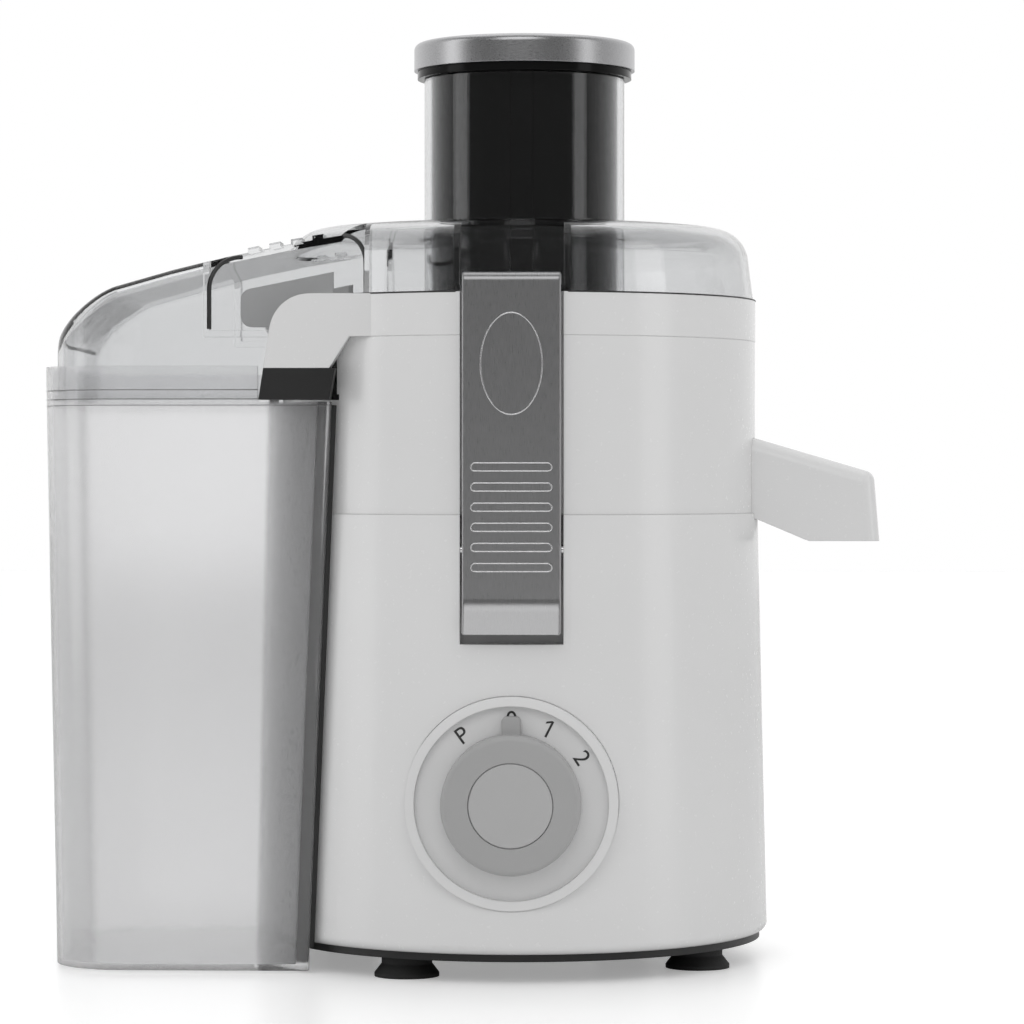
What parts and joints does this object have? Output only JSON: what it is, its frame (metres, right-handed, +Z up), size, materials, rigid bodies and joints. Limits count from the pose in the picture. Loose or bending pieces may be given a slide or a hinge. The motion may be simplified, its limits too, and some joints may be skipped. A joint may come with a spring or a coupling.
{
  "type": "centrifugal juicer",
  "caption": "Compact centrifugal juicer with a clear lid and feed tube, side pulp bin, pouring spout, clamp latches and a speed dial.",
  "frame": {"origin": "middle of the whole machine's footprint, on the surface it stands on", "axes": "+Z up, -Y the front with the dial, -X the pulp bin, +X the spout"},
  "size_m": [0.298, 0.1928, 0.3319],
  "materials": {
    "white_plastic": "smooth white gloss, lightly rounded edges",
    "black_plastic": "fine matt black",
    "gloss_black": "polished black",
    "clear_smoke": "clear plastic with a light smoke tint",
    "bin_smoke": "translucent smoke grey plastic",
    "satin_steel": "satin brushed",
    "latch_steel": "dark satin with bright edges",
    "grey_plastic": "silver grey moulded",
    "rubber": "soft matt rubber",
    "copper": "enamelled copper",
    "lamination": "stacked sheet",
    "aluminium": "die cast",
    "bright_steel": "polished steel",
    "carbon": "pressed carbon"
  },
  "bodies": {
    "root": {"motor_base_shell": "white_plastic", "base_plate": "black_plastic", "suction_feet": "rubber", "base_screws": "bright_steel", "upper_housing": "white_plastic", "bowl_collar": "white_plastic", "bowl_gasket": "rubber", "arm_pads": "black_plastic", "juice_spout": "white_plastic", "juice_bowl": "white_plastic", "clear_lid": "clear_smoke", "feed_chute": "clear_smoke", "latch_pins": "bright_steel", "dial_bezel": "white_plastic", "rotary_switch": "black_plastic", "stator_core": "lamination", "stator_windings": "copper", "carbon_brushes": "carbon", "brush_holders": "copper", "upper_bearing": "bright_steel", "lower_bearing": "bright_steel", "upper_motor_bracket": "aluminium", "lower_motor_bracket": "aluminium", "motor_screws": "bright_steel", "motor_dampers": "rubber", "shaft_seal": "rubber", "cord_gland": "black_plastic", "safety_switch": "black_plastic"},
    "dial": {"dial_knob": "grey_plastic", "knob_cap": "grey_plastic", "switch_shaft": "bright_steel"},
    "front_clamp": {"front_latch": "latch_steel"},
    "rear_clamp": {"rear_latch": "latch_steel"},
    "rotor": {"motor_shaft": "bright_steel", "armature": "lamination", "commutator": "copper", "cooling_fan": "black_plastic", "drive_coupling": "black_plastic", "basket_hub": "black_plastic", "filter_basket": "satin_steel", "cutter_disc": "satin_steel", "cutter_nut": "bright_steel"},
    "plunger": {"pusher": "gloss_black", "pusher_cap": "satin_steel"},
    "bin": {"pulp_bin": "bin_smoke"}
  },
  "joints": [
    {"name": "pusher_slide", "type": "slide", "parent": "root", "child": "plunger", "axis": [0, 0, 1], "range_m": [0, 0.12]},
    {"name": "dial_turn", "type": "hinge", "parent": "root", "child": "dial", "pos_m": [0.01855, -0.08701, 0.062], "axis": [0, 1, 0], "range_deg": [-36, 57]},
    {"name": "front_latch_swing", "type": "hinge", "parent": "root", "child": "front_clamp", "pos_m": [0.01855, -0.07888, 0.149], "axis": [1, 0, 0], "range_deg": [0, 18]},
    {"name": "rear_latch_swing", "type": "hinge", "parent": "root", "child": "rear_clamp", "pos_m": [0.01855, 0.08592, 0.149], "axis": [-1, 0, 0], "range_deg": [0, 18]},
    {"name": "rotor_spin", "type": "hinge", "parent": "root", "child": "rotor", "pos_m": [0.01855, 0.00351, 0.158], "axis": [0, 0, 1], "continuous": true},
    {"name": "bin_slide", "type": "slide", "parent": "root", "child": "bin", "axis": [-1, 0, 0], "range_m": [0, 0.13]}
  ]
}
